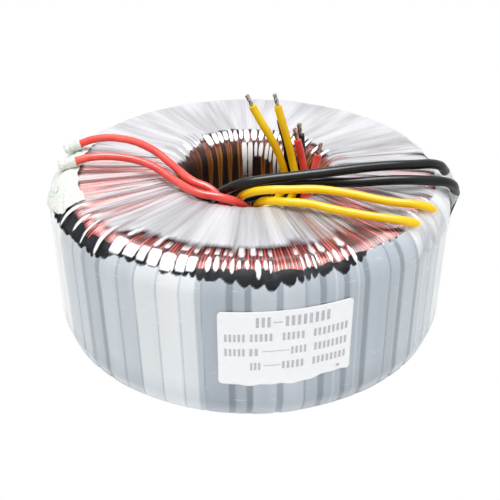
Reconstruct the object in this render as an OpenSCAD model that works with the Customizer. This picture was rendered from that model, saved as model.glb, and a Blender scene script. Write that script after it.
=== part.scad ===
// Toroidal mains transformer, about 1 kVA: a tape-wound ring core, three windings laid over
// one another, a clear film wrap in lapped turns and six flexible leads parked in the bore.
// Frame: origin on the ring's axis at its lowest face, +Z up the axis.

/* [Core] */
// Outside diameter of the steel core
core_od = 156; // [140:1:170]
// Inside diameter of the steel core
core_id = 90; // [84:1:96]
// Height of the steel core
core_h = 50; // [40:1:60]
// Chamfer of the core's edges
core_chamfer = 1; // [0.5:0.1:2]
// Width of the groove between two bundles of strip turns
strip_groove_w = 0.5; // [0.2:0.1:1]
// Depth of the groove between two bundles of strip turns
strip_groove_depth = 0.4; // [0.2:0.1:1]
// Number of strip bundles that show on an end face
strip_bundles = 11; // [6:1:14]

/* [Insulation] */
// Thickness of the moulded caps on the core's two ends
cap_t = 1; // [0.6:0.1:1.6]
// How far a cap reaches down the core's walls
cap_reach = 11; // [6:1:18]
// Thickness of the film laid over the capped core
core_wrap_t = 0.5; // [0.3:0.1:1]
// Thickness of the film over the primary winding
primary_wrap_t = 0.5; // [0.3:0.1:1]
// Thickness of the film over the mains-voltage output winding
output_wrap_t = 0.5; // [0.3:0.1:1]

/* [Windings] */
// Depth of the primary winding on the core's outside
primary_t = 2.8; // [2:0.1:4]
// Depth of the mains-voltage output winding on the core's outside
mains_output_t = 2.8; // [2:0.1:4]
// Thickness of the heavy wire in the low-voltage output winding
heavy_wire_w = 2; // [1.6:0.1:2.4]
// Space between two heavy turns in the bore, as a share of the wire
heavy_turn_space = 0.1; // [0.05:0.01:0.5]

/* [Outer wrap] */
// Thickness of the dark steel band round the outside
band_t = 0.4; // [0.2:0.1:0.8]
// Height of the band's lower edge above the base
band_low = 6; // [2:1:14]
// How far the band's upper edge stops below the top face
band_top_gap = 4; // [3:0.5:12]
// Depth of the scallops in the band's crumpled upper edge
band_scallop = 3; // [1:0.5:5]
// Number of scallops round the band's upper edge
band_scallops = 40; // [16:1:60]
// Thickness of the clear film under the laps
film_t = 0.8; // [0.5:0.1:1.2]
// Height of a film lap over the one beside it
lap_t = 0.3; // [0.2:0.05:0.5]
// Number of film turns round the ring
film_turns = 60; // [36:1:72]
// Part of a film turn's pitch that stands proud
lap_share = 0.58; // [0.3:0.01:0.7]

/* [Label] */
// Width of the label round the side
label_w = 53; // [30:1:80]
// Height of the label
label_h = 34.5; // [20:0.5:45]
// Height of the label's lower edge above the base
label_low = 24; // [14:0.5:30]
// Thickness of the label
label_t = 0.2; // [0.1:0.05:0.4]
// Radius of the label's corners
label_corner = 2.5; // [1:0.5:5]
// Direction that the label faces
label_azimuth = -81; // [-180:1:180]

/* [Lead-out tape] */
// Thickness of the woven tape
tape_t = 0.4; // [0.2:0.1:0.8]
// Reach of the woven tape down the side, below the top face
tape_drop = 17; // [10:1:30]
// Reach of the woven tape in from the outer edge
tape_in = 14; // [8:1:20]
// Width of the rear tape patch round the rim
tape_rear_w = 28; // [20:1:34]
// Width of the front tape patch round the rim
tape_front_w = 39; // [20:1:60]
// Direction of the gap between the two patches
tape_azimuth = 181.5; // [170:0.5:190]

/* [Leads] */
// Diameter of the two red mains-input leads
red_d = 3.5; // [3:0.1:3.7]
// Diameter of the two black low-voltage leads
black_d = 4.2; // [3.6:0.1:4.3]
// Diameter of the two yellow mains-output leads
yellow_d = 3.5; // [3:0.1:3.7]
// Diameter of the stripped strands, as a share of the lead
strand_share = 0.52; // [0.4:0.01:0.7]
// Length of the stripped end of a lead
strip_l = 6; // [4:0.5:12]
// Wall of the white sleeve round a red lead where it comes out
sleeve_t = 0.9; // [0.6:0.1:1.1]
// Length of that sleeve
sleeve_l = 10; // [8:0.5:12]
// Length of red lead inside the sleeve
sleeve_grip = 4; // [2:0.5:6]

/* [Hidden] */

layer_gap = 0.05;       // clearance between two layers of the build
slide_gap = 0.15;       // clearance round a lead in its sleeve
full_turn = 360;

// Each layer is measured by its depth over the bare core on the core's outside. The same turns
// lie closer together in the bore, so a layer is thicker there, and a little thicker on the ends.
bore_crowding = 1.25;
end_crowding = 1.0417;
cap_in = layer_gap;
cap_out = cap_in + cap_t;
core_wrap_in = cap_out + layer_gap;
core_wrap_out = core_wrap_in + core_wrap_t;
primary_in = core_wrap_out + layer_gap;
primary_out = primary_in + primary_t;
primary_wrap_in = primary_out + layer_gap;
primary_wrap_out = primary_wrap_in + primary_wrap_t;
mains_output_in = primary_wrap_out + layer_gap;
mains_output_out = mains_output_in + mains_output_t;
output_wrap_in = mains_output_out + layer_gap;
output_wrap_out = output_wrap_in + output_wrap_t;
heavy_in = output_wrap_out + layer_gap;
heavy_out = heavy_in + heavy_wire_w;
band_in = heavy_out + layer_gap;
band_out = band_in + band_t;
film_in = band_out + layer_gap;
film_out = film_in + film_t;
lap_out = film_out + lap_t;
tape_in_depth = lap_out + layer_gap;
tape_out_depth = tape_in_depth + tape_t;

mid_z = core_h / 2 + lap_out * end_crowding;    // the ring's middle plane over its base
top_z = 2 * mid_z;
outer_r = core_od / 2 + lap_out;
inner_corners = 3;      // chords in each corner of a hidden layer
outer_corners = 5;      // chords in each corner of a face that shows

heavy_bore_r = core_id / 2 - heavy_out * bore_crowding;
heavy_turns = floor(full_turn / (2 * atan(heavy_wire_w * (1 + heavy_turn_space) / 2 / heavy_bore_r)));
film_pitch = full_turn / film_turns;
rim_per_degree = PI * 2 * outer_r / full_turn;
tape_apart = 1.6;       // gap between the two tape patches

// The leads were laid out over a ring whose shoulder starts at this radius, whose top face is at
// this height and whose bore has this radius. On another size they keep their place on the ring.
laid_shoulder_r = 77;
laid_top_z = 75.1;
laid_bore_r = 30;
shoulder_r = core_od / 2 - core_chamfer;

function follow_ring(route) = [for (p = route)
    let (r = norm([p.x, p.y]),
        share = max(0, min(1, (r - laid_bore_r) / (laid_shoulder_r - laid_bore_r))),
        grown = r > 0 ? 1 + share * (shoulder_r - laid_shoulder_r) / r : 1)
    [p.x * grown, p.y * grown, p.z + top_z - laid_top_z]];

// Points of each lead's middle line, from where it leaves the wrap, over the top, down into the
// bore and back up to its stripped end.
red_a_route = follow_ring([[-80, 14, 78], [-72, 14, 81], [-58, 10, 83], [-44, 0, 82.6],
    [-33, -12.3, 80], [-24, -23.8, 78.5], [-17, -27.5, 77], [-11.5, -29.5, 72.5], [-6, -27.5, 66.5],
    [-0.5, -26, 59.5], [6.5, -24.5, 52.5], [14, -19, 48], [20, -11, 49], [24, -4, 56], [25, 0, 66],
    [23.5, 0.5, 77], [21, 1, 86.5]]);
red_b_route = follow_ring([[-79, -4.5, 78.2], [-71, -4, 80.3], [-58, -5, 81], [-44, -10.5, 80],
    [-32, -21.5, 77.7], [-21, -32.3, 77.3], [-13, -34, 76.5], [-6, -31.5, 73], [0.5, -27.5, 65.5],
    [7, -26, 58], [13.5, -22, 53.5], [20, -16, 53.5], [25, -10.5, 59], [27, -7.5, 67],
    [28.5, -6, 75], [30, -5, 82]]);
black_a_route = follow_ring([[87, -5, 74], [82, -11, 80], [68, -18.5, 83.7], [52, -23, 85],
    [36, -27.5, 85.2], [20, -30, 84.3], [6, -31, 82.9], [-4, -29, 79.9], [-12, -24, 73.5],
    [-17, -15.5, 66], [-17, -5, 59], [-11, 3.5, 54.5], [-1, 9, 53], [8.5, 11, 56], [15.5, 10, 64],
    [17.5, 8.5, 75], [14, 8, 93]]);
black_b_route = follow_ring([[91.5, -10, 66], [87, -17, 74], [76, -22, 78], [60, -25.5, 80],
    [44, -26.5, 79.5], [28, -26.5, 79.5], [14, -27.5, 79.5], [4, -25.5, 78], [-5, -20, 73],
    [-10, -14, 63], [-9.5, -5, 56], [-3, 2.5, 50.5], [7, 6.5, 47], [16.5, 8.5, 49.5],
    [22.5, 9, 57.5], [24, 8.5, 68], [22.5, 8, 86]]);
yellow_a_route = follow_ring([[76.5, -41, 73.4], [70.5, -42.8, 77], [56, -43, 79.2], [41, -40, 81],
    [28, -37.5, 81.8], [17, -37, 81.5], [7, -35.5, 80.5], [-0.5, -31, 76.8], [-4, -24.5, 71],
    [-4.5, -17, 63.5], [-1.5, -10, 57], [5, -4.5, 54], [12, -1, 57.5], [15.5, 0.5, 65],
    [14.5, 0, 75], [1, 0, 103]]);
yellow_b_route = follow_ring([[68, -53, 74], [61, -54.5, 76.7], [48, -54, 78.5], [35, -49, 78.5],
    [23, -43.5, 78.5], [13, -40, 77.5], [6.5, -34.5, 75], [3.5, -28.5, 70], [3.5, -21, 63],
    [6, -13.5, 56.5], [12, -8.5, 55], [17.5, -5, 58.5], [20.5, -3, 67], [19, -1.5, 77],
    [12, 0, 103]]);

copper = [0.72, 0.36, 0.26];
film_tint = [0.82, 0.84, 0.88];

// Points on an arc round [r, z], from angle a0 to a1, in n chords.
function arc(r, z, radius, a0, a1, n) =
    [for (i = [0 : n]) let (a = a0 + (a1 - a0) * i / n) [r + radius * cos(a), z + radius * sin(a)]];

// Half-section of the build at a depth over the core, with n chords in each corner.
function section(depth, n) =
    let (ro = core_od / 2 + depth, ri = core_id / 2 - depth * bore_crowding,
        half_h = core_h / 2 + depth * end_crowding, corner = core_chamfer + depth,
        low = mid_z - half_h + corner, high = mid_z + half_h - corner)
    concat(arc(ro - corner, high, corner, 0, 90, n), arc(ri + corner, high, corner, 90, 180, n),
        arc(ri + corner, low, corner, 180, 270, n), arc(ro - corner, low, corner, 270, 360, n));

// Flat section between two depths.
module layer_section(depth_in, depth_out, n_in = inner_corners, n_out = inner_corners) {
    difference() {
        polygon(section(depth_out, n_out));
        polygon(section(depth_in, n_in));
    }
}

module ring_layer(depth_in, depth_out) {
    rotate_extrude($fn = 96) layer_section(depth_in, depth_out);
}

module core() color("dimgray") {
    width = (core_od - core_id) / 2;
    bundle = width / strip_bundles;
    half_h = core_h / 2;
    rotate_extrude($fn = 96) translate([core_id / 2, mid_z]) difference() {
        polygon([[core_chamfer, -half_h], [width - core_chamfer, -half_h],
            [width, core_chamfer - half_h], [width, half_h - core_chamfer],
            [width - core_chamfer, half_h], [core_chamfer, half_h],
            [0, half_h - core_chamfer], [0, core_chamfer - half_h]]);
        for (i = [1 : strip_bundles - 1], end = [-1, 1])
            translate([i * bundle, end * half_h])
                square([strip_groove_w, 2 * strip_groove_depth], center = true);
    }
}

// Moulded cap over one end of the core and the edges beside it.
module core_cap(side) color("ivory") {
    edge = mid_z + side * (core_h / 2 - cap_reach);
    rotate_extrude($fn = 96) intersection() {
        layer_section(cap_in, cap_out);
        translate([0, side > 0 ? edge : edge - top_z]) square([core_od, top_z]);
    }
}

module core_cap_bottom() core_cap(-1);

module core_cap_top() core_cap(1);

module core_wrap() color("khaki") ring_layer(core_wrap_in, core_wrap_out);

module primary_winding() color(copper) ring_layer(primary_in, primary_out);

module primary_wrap() color("khaki") ring_layer(primary_wrap_in, primary_wrap_out);

module mains_output_winding() color(copper) ring_layer(mains_output_in, mains_output_out);

module output_wrap() color("khaki") ring_layer(output_wrap_in, output_wrap_out);

// One closed turn of heavy wire after another, side by side in the bore and fanned outside.
module low_volt_winding() color(copper) {
    for (i = [0 : heavy_turns - 1])
        rotate([90, 0, i * full_turn / heavy_turns])
            linear_extrude(height = heavy_wire_w, center = true)
                layer_section(heavy_in, heavy_out);
}

// Dark band round the side, with a crumpled upper edge that follows the shoulder.
module side_band() color([0.2, 0.22, 0.25]) {
    band_top = top_z - band_top_gap;
    difference() {
        rotate_extrude($fn = 96) intersection() {
            layer_section(band_in, band_out);
            translate([(core_od + core_id) / 4, band_low])
                square([core_od, band_top - band_low]);
        }
        for (i = [0 : band_scallops - 1]) {
            depth = band_scallop * (0.7 + 0.3 * sin(i * 137));
            rotate([0, 0, i * full_turn / band_scallops])
                translate([core_od / 2 - band_in, 0, band_top]) rotate([0, 90, 0])
                    cylinder(r = depth, h = 3 * band_in, $fn = 24);
        }
    }
}

// Clear film wound round the ring in lapped turns: every turn leaves a low step.
module outer_film() color(film_tint) {
    groove = film_pitch * (1 - lap_share);
    clear = lap_t + 1;
    difference() {
        rotate_extrude($fn = 120) layer_section(film_in, lap_out, inner_corners, outer_corners);
        for (i = [0 : film_turns - 1])
            rotate([0, 0, i * film_pitch])
                rotate_extrude(angle = groove, $fn = 120)
                    layer_section(film_out, lap_out + clear, outer_corners, outer_corners);
    }
}

// Bare label, stuck round the side over the film.
module label() color("white") {
    half_w = label_w / 2;
    high = label_low + label_h;
    spread = full_turn * label_w / (PI * 2 * outer_r);
    corner = label_corner;
    intersection() {
        rotate([0, 0, label_azimuth - spread])
            rotate_extrude(angle = 2 * spread, $fn = 120)
                translate([outer_r + layer_gap, 0]) square([label_t, top_z]);
        rotate([90, 0, label_azimuth + 90])
            linear_extrude(height = 2 * outer_r)
                polygon(concat(arc(half_w - corner, high - corner, corner, 0, 90, 4),
                    arc(corner - half_w, high - corner, corner, 90, 180, 4),
                    arc(corner - half_w, label_low + corner, corner, 180, 270, 4),
                    arc(half_w - corner, label_low + corner, corner, 270, 360, 4)));
    }
}

// Patch of woven tape over the shoulder where the red leads come out.
module lead_out_tape(from, width) color("whitesmoke") {
    rotate([0, 0, from]) rotate_extrude(angle = width / rim_per_degree, $fn = 120) intersection() {
        layer_section(tape_in_depth, tape_out_depth, outer_corners, outer_corners);
        translate([outer_r - tape_in, top_z - tape_drop]) square([2 * tape_in, 2 * tape_drop]);
    }
}

module lead_out_tape_rear()
    lead_out_tape(tape_azimuth - (tape_rear_w + tape_apart / 2) / rim_per_degree, tape_rear_w);

module lead_out_tape_front()
    lead_out_tape(tape_azimuth + tape_apart / 2 / rim_per_degree, tape_front_w);

function unit(v) = v / norm(v);

// Direction of a route at its point i.
function heading(route, i) =
    unit(route[min(i + 1, len(route) - 1)] - route[max(i - 1, 0)]);

// Side vector carried on to the next heading without a twist.
function carry(side, ahead) = unit(side - (side * ahead) * ahead);

// Tube of eight sides along a route, with a ring at each of its points.
module lead(route, d) {
    sides = 8;
    last = len(route) - 1;
    first_side = carry([0, 0, 1], heading(route, 0));
    across = [for (i = 0, s = first_side; i <= last;
        i = i + 1, s = i <= last ? carry(s, heading(route, i)) : s) s];
    rings = [for (i = [0 : last], k = [0 : sides - 1])
        let (u = across[i], v = cross(heading(route, i), u), a = k * full_turn / sides)
            route[i] + d / 2 * (u * cos(a) + v * sin(a))];
    walls = [for (i = [0 : last - 1], k = [0 : sides - 1])
        let (a = i * sides + k, b = i * sides + (k + 1) % sides)
            [a, a + sides, b + sides, b]];
    start = [for (k = [0 : sides - 1]) k];
    end = [for (k = [sides - 1 : -1 : 0]) last * sides + k];
    polyhedron(points = rings, faces = concat(walls, [start, end]), convexity = 6);
}

// Turns the Z axis along a direction and moves it to a point.
module aim(point, v) {
    translate(point) rotate([0, acos(v[2] / norm(v)), atan2(v[1], v[0])]) children();
}

// Bare strands beyond the end of a lead.
module strands(route, d) {
    last = len(route) - 1;
    strand_d = d * strand_share;
    tip_l = strand_d / 2;
    aim(route[last], route[last] - route[last - 1]) {
        cylinder(d = strand_d, h = strip_l - tip_l, $fn = 24);
        translate([0, 0, strip_l - tip_l])
            cylinder(d1 = strand_d, d2 = strand_d / 2, h = tip_l, $fn = 24);
    }
}

// Blind white sleeve that a red lead comes out of.
module sleeve(route) color("white") {
    out = route[0] - route[1];
    aim(route[0] - unit(out) * sleeve_grip, out) difference() {
        cylinder(d = red_d + 2 * sleeve_t, h = sleeve_l, $fn = 32);
        translate([0, 0, -1])
            cylinder(d = red_d + 2 * slide_gap, h = sleeve_grip + 1 + slide_gap, $fn = 32);
    }
}

module sleeve_red_a() sleeve(red_a_route);
module sleeve_red_b() sleeve(red_b_route);
module lead_red_a() color("tomato") lead(red_a_route, red_d);
module lead_red_b() color("tomato") lead(red_b_route, red_d);
module lead_black_a() color([0.1, 0.1, 0.11]) lead(black_a_route, black_d);
module lead_black_b() color([0.1, 0.1, 0.11]) lead(black_b_route, black_d);
module lead_yellow_a() color("gold") lead(yellow_a_route, yellow_d);
module lead_yellow_b() color("gold") lead(yellow_b_route, yellow_d);
module strands_red_a() color(copper) strands(red_a_route, red_d);
module strands_red_b() color(copper) strands(red_b_route, red_d);
module strands_black_a() color("silver") strands(black_a_route, black_d);
module strands_black_b() color("silver") strands(black_b_route, black_d);
module strands_yellow_a() color("silver") strands(yellow_a_route, yellow_d);
module strands_yellow_b() color("silver") strands(yellow_b_route, yellow_d);

core();
core_cap_bottom();
core_cap_top();
core_wrap();
primary_winding();
primary_wrap();
mains_output_winding();
output_wrap();
low_volt_winding();
side_band();
outer_film();
label();
lead_out_tape_rear();
lead_out_tape_front();
sleeve_red_a();
sleeve_red_b();
lead_red_a();
lead_red_b();
lead_black_a();
lead_black_b();
lead_yellow_a();
lead_yellow_b();
strands_red_a();
strands_red_b();
strands_black_a();
strands_black_b();
strands_yellow_a();
strands_yellow_b();
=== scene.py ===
import math
import random

import bmesh
import bpy
import numpy as np
from mathutils import Matrix, Vector
from mathutils.geometry import interpolate_bezier


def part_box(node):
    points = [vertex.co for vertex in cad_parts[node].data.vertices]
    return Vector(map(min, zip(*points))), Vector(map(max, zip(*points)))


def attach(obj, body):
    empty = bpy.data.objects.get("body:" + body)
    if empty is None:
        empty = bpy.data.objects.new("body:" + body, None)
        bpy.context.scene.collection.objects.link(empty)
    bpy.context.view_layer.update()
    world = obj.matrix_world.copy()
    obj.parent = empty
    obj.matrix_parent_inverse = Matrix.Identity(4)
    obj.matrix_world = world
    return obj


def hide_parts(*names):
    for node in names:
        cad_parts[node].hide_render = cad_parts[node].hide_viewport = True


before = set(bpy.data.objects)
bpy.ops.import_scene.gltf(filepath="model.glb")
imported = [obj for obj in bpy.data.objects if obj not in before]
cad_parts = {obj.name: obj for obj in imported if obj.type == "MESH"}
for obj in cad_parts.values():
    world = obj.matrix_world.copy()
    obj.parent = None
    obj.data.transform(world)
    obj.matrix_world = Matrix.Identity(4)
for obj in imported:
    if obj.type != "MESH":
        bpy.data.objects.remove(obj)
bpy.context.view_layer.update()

MM = 0.001

# Sizes of the build, as in the part's source, in millimetres.
CORE_OD, CORE_ID, CORE_H, CORE_CHAMFER = 156, 90, 50, 1
BORE_CROWDING, END_CROWDING = 1.25, 1.0417
WIRE_OUT, BAND_OUT, FILM_OUT, LAP_OUT = 10.45, 10.9, 11.75, 12.05      # depths over the core
RIM_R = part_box("outer_film")[1].x / MM
TOP_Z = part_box("outer_film")[1].z / MM
MID_Z = TOP_Z / 2
HEAVY_TURNS, WIRES_PER_TURN, FILM_TURNS = 91, 4, 60

# Directions round the axis are in degrees: 0 is the black leads' side, 180 the red leads' side and
# 270 the label's. Places up the section are in millimetres from the foot of the outer wall. The
# wall ends at 49, the shoulder at 69, the top at 103, the rim of the hole at 123, the bore at 172,
# the lower rim at 192, the underside at 226, and the corner below closes the section at 246.
WALL_END = 49

# Middle lines of the six leads, in millimetres, from the wrap over the top and down into the hole.
LEADS = {
    "red_a": (3.5, [
        (-80, 14, 78), (-72, 14, 81), (-58, 10, 83), (-44, 0, 82.6), (-33, -12.3, 80),
        (-24, -23.8, 78.5), (-17, -27.5, 77), (-11.5, -29.5, 72.5), (-6, -27.5, 66.5),
        (-0.5, -26, 59.5), (6.5, -24.5, 52.5), (14, -19, 48), (20, -11, 49), (24, -4, 56),
        (25, 0, 66), (23.5, 0.5, 77), (21, 1, 86.5)]),
    "red_b": (3.5, [
        (-79, -4.5, 78.2), (-71, -4, 80.3), (-58, -5, 81), (-44, -10.5, 80), (-32, -21.5, 77.7),
        (-21, -32.3, 77.3), (-13, -34, 76.5), (-6, -31.5, 73), (0.5, -27.5, 65.5), (7, -26, 58),
        (13.5, -22, 53.5), (20, -16, 53.5), (25, -10.5, 59), (27, -7.5, 67), (28.5, -6, 75),
        (30, -5, 82)]),
    "black_a": (4.2, [
        (87, -5, 74), (82, -11, 80), (68, -18.5, 83.7), (52, -23, 85), (36, -27.5, 85.2),
        (20, -30, 84.3), (6, -31, 82.9), (-4, -29, 79.9), (-12, -24, 73.5), (-17, -15.5, 66),
        (-17, -5, 59), (-11, 3.5, 54.5), (-1, 9, 53), (8.5, 11, 56), (15.5, 10, 64),
        (17.5, 8.5, 75), (14, 8, 93)]),
    "black_b": (4.2, [
        (91.5, -10, 66), (87, -17, 74), (76, -22, 78), (60, -25.5, 80), (44, -26.5, 79.5),
        (28, -26.5, 79.5), (14, -27.5, 79.5), (4, -25.5, 78), (-5, -20, 73), (-10, -14, 63),
        (-9.5, -5, 56), (-3, 2.5, 50.5), (7, 6.5, 47), (16.5, 8.5, 49.5), (22.5, 9, 57.5),
        (24, 8.5, 68), (22.5, 8, 86)]),
    "yellow_a": (3.5, [
        (76.5, -41, 73.4), (70.5, -42.8, 77), (56, -43, 79.2), (41, -40, 81), (28, -37.5, 81.8),
        (17, -37, 81.5), (7, -35.5, 80.5), (-0.5, -31, 76.8), (-4, -24.5, 71), (-4.5, -17, 63.5),
        (-1.5, -10, 57), (5, -4.5, 54), (12, -1, 57.5), (15.5, 0.5, 65), (14.5, 0, 75),
        (1, 0, 103)]),
    "yellow_b": (3.5, [
        (68, -53, 74), (61, -54.5, 76.7), (48, -54, 78.5), (35, -49, 78.5), (23, -43.5, 78.5),
        (13, -40, 77.5), (6.5, -34.5, 75), (3.5, -28.5, 70), (3.5, -21, 63), (6, -13.5, 56.5),
        (12, -8.5, 55), (17.5, -5, 58.5), (20.5, -3, 67), (19, -1.5, 77), (12, 0, 103)]),
}
# Length of a stripped end, width of its bundle over the lead's, strands in it and their twist.
STRIP_L, BUNDLE_SHARE, STRANDS, TWIST = 6, 0.52, 7, 2.6


# ---------------------------------------------------------------- camera

# It looks down at the ring from the front, at 32 degrees.
camera = bpy.data.objects.new("camera", bpy.data.cameras.new("camera"))
bpy.context.scene.collection.objects.link(camera)
camera.data.lens, camera.data.sensor_width = 60.6, 36
camera.location = (0, -0.34299, 0.24048)
camera.rotation_euler = (math.radians(58.435), 0, 0)
bpy.context.scene.camera = camera
bpy.context.scene.view_settings.view_transform = "Standard"


# ---------------------------------------------------------------- small tools

def paint(code):
    """Linear colour of an sRGB hex code."""
    parts = [int(code[i:i + 2], 16) / 255 for i in (1, 3, 5)]
    return tuple(c / 12.92 if c <= 0.04045 else ((c + 0.055) / 1.055) ** 2.4 for c in parts) + (1,)


def add(tree, kind, inputs=None, stops=(), **settings):
    """Adds one node with its settings and links. Each input takes a value, another node's output
    or a node, which means its first output. Stops are a colour ramp's (position, hex) pairs."""
    made = tree.nodes.new("ShaderNode" + kind)
    for name, value in settings.items():
        setattr(made, name, value)
    if stops:
        elements = made.color_ramp.elements
        while len(elements) < len(stops):
            elements.new(0.5)
        for element, (position, code) in zip(elements, stops):
            element.position, element.color = position, paint(code)
    for socket, value in (inputs or {}).items():
        if isinstance(value, bpy.types.Node):
            value = value.outputs[0]
        if isinstance(value, bpy.types.NodeSocket):
            tree.links.new(value, made.inputs[socket])
        else:
            made.inputs[socket].default_value = value
    return made


def finish_called(name, **sockets):
    """A new material with one Principled shader, its tree and that shader."""
    material = bpy.data.materials.new(name)
    material.use_nodes = True
    shader = material.node_tree.nodes["Principled BSDF"]
    for socket, value in sockets.items():
        shader.inputs[socket.replace("_", " ")].default_value = value
    return material, material.node_tree, shader


def mottled(name, scale, *stops, detail=2, **sockets):
    """A finish whose colour wanders a little between its stops. Its patches are about 1 / scale
    metres wide."""
    material, tree, shader = finish_called(name, **sockets)
    patches = add(tree, "TexNoise", {"Vector": add(tree, "TexCoord").outputs["Object"],
                                     "Scale": scale, "Detail": detail})
    colour = add(tree, "ValToRGB", {"Fac": patches}, stops=stops)
    tree.links.new(colour.outputs[0], shader.inputs["Base Color"])
    return material


def put(piece, material):
    """Gives a finished piece its material and its body."""
    piece.data.materials.clear()
    piece.data.materials.append(material)
    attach(piece, "root")
    return piece


def made_from(bm, name):
    """A smooth-shaded piece from a finished bmesh."""
    mesh = bpy.data.meshes.new(name)
    bm.to_mesh(mesh)
    bm.free()
    for face in mesh.polygons:
        face.use_smooth = True
    piece = bpy.data.objects.new(name, mesh)
    bpy.context.scene.collection.objects.link(piece)
    return piece


def places_of(piece):
    """Every vertex of a piece, one row each, in metres."""
    co = np.zeros(len(piece.data.vertices) * 3)
    piece.data.vertices.foreach_get("co", co)
    return co.reshape(-1, 3)


def move_to(piece, co):
    """Puts every vertex of a piece at its row."""
    piece.data.vertices.foreach_set("co", co.ravel())
    piece.data.update()


def thicken(piece, thick):
    """Gives a sheet its thickness, in millimetres, on its inner side."""
    shell = piece.modifiers.new("thickness", "SOLIDIFY")
    shell.thickness, shell.offset = thick * MM, -1


def section(depth, wall_n, corner_n, top_n, bore_n, under_n, inner_n=None):
    """Closed half-section of the build at a depth over the core, as (r, z) in millimetres.
    It starts low on the outer wall and goes up, over the top, down the bore and back below.
    The counts say how many steps each stretch gets."""
    ro, ri = CORE_OD / 2 + depth, CORE_ID / 2 - depth * BORE_CROWDING
    half, c = CORE_H / 2 + depth * END_CROWDING, CORE_CHAMFER + depth
    low, high = MID_Z - half + c, MID_Z + half - c

    def line(a, b, n):
        return [(a[0] + (b[0] - a[0]) * i / n, a[1] + (b[1] - a[1]) * i / n) for i in range(n)]

    def arc(r, z, start, n):
        turns = [math.radians(start + 90 * i / n) for i in range(n)]
        return [(r + c * math.cos(t), z + c * math.sin(t)) for t in turns]

    return (line((ro, low), (ro, high), wall_n) + arc(ro - c, high, 0, corner_n)
            + line((ro - c, high + c), (ri + c, high + c), top_n)
            + arc(ri + c, high, 90, inner_n or corner_n)
            + line((ri, high), (ri, low), bore_n) + arc(ri + c, low, 180, under_n)
            + line((ri + c, low - c), (ro - c, low - c), under_n) + arc(ro - c, low, 270, under_n))


def spun(name, profile, steps, closed=True, wedges=20):
    """Ring made by spinning a profile of (r, z) points, in millimetres, round the axis. One wedge
    is spun and then laid round the ring, because one long spin of a fine profile is slow."""
    bm = bmesh.new()
    verts = [bm.verts.new((r * MM, 0, z * MM)) for r, z in profile]
    pairs = zip(verts, verts[1:] + verts[:1]) if closed else zip(verts, verts[1:])
    edges = [bm.edges.new(pair) for pair in pairs]
    bmesh.ops.spin(bm, geom=verts + edges, cent=(0, 0, 0), axis=(0, 0, 1),
                   angle=math.tau / wedges, steps=steps // wedges)
    wedge = bpy.data.meshes.new(name + "_wedge")
    bm.to_mesh(wedge)
    bm.clear()
    for _ in range(wedges):
        bm.from_mesh(wedge)
        wedge.transform(Matrix.Rotation(math.tau / wedges, 4, "Z"))
    bmesh.ops.remove_doubles(bm, verts=bm.verts, dist=1e-6)
    bmesh.ops.recalc_face_normals(bm, faces=bm.faces)
    return made_from(bm, name)


def ring_places(piece, profile):
    """For every vertex of a spun ring: its position, its direction round the axis and the number
    of its profile point. Then the profile's outward normal at each of those points."""
    co = places_of(piece)
    turn = np.degrees(np.arctan2(co[:, 1], co[:, 0])) % 360
    rz = np.stack([np.hypot(co[:, 0], co[:, 1]), co[:, 2]], 1) / MM
    line = np.array(profile)
    index = np.concatenate([
        np.argmin(((part[:, None, :] - line[None]) ** 2).sum(2), 1)
        for part in np.array_split(rz, 40)])
    along = np.roll(line, -1, 0) - np.roll(line, 1, 0)
    out = np.stack([along[:, 1], -along[:, 0]], 1)
    out /= np.linalg.norm(out, axis=1)[:, None]
    return co, turn, index, out


def push_out(piece, co, turn, index, out, relief):
    """Moves every vertex of a ring outwards by its relief, in millimetres."""
    angle = np.radians(turn)
    step = out[index] * relief[:, None] * MM
    co[:, 0] += step[:, 0] * np.cos(angle)
    co[:, 1] += step[:, 0] * np.sin(angle)
    co[:, 2] += step[:, 1]
    move_to(piece, co)


def way_along(line):
    """Way from the first point of a line to each of its points."""
    return np.concatenate([[0], np.cumsum(np.linalg.norm(np.diff(line, axis=0), axis=1))])


def ring_point(turn, s, lift):
    """Points in metres on the film's outside, from a direction round the axis, a place up the
    section and a lift off the surface in millimetres."""
    line = np.array(section(LAP_OUT, 20, 24, 20, 10, 4))
    at = way_along(line)
    along = np.gradient(line, axis=0)
    along /= np.linalg.norm(along, axis=1)[:, None]
    r = np.interp(s, at, line[:, 0]) + lift * np.interp(s, at, along[:, 1])
    z = np.interp(s, at, line[:, 1]) - lift * np.interp(s, at, along[:, 0])
    angle = np.radians(turn)
    return np.stack([r * np.cos(angle), r * np.sin(angle), z], 1) * MM


def flat_grid(bm, x0, x1, y0, y1, nx, ny):
    """A flat sheet of nx by ny faces between two corners."""
    centre = Matrix.Translation(((x0 + x1) / 2, (y0 + y1) / 2, 0))
    bmesh.ops.create_grid(bm, x_segments=nx, y_segments=ny, size=1,
                          matrix=centre @ Matrix.Diagonal(((x1 - x0) / 2, (y1 - y0) / 2, 1, 1)))


def laid_on_ring(bm, name, bend, thick):
    """Lays a flat mesh on the ring and thickens it, in millimetres. Bend turns its x and y into a
    direction, a place up the section and a lift. Returns the piece, the flat x and y of its
    vertices, their directions and their places up the section."""
    piece = made_from(bm, name)
    flat = places_of(piece)[:, :2]
    turn, s, lift = bend(flat[:, 0], flat[:, 1])
    move_to(piece, ring_point(turn, s, lift))
    if thick:
        thicken(piece, thick)
    return piece, flat, turn, s


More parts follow.
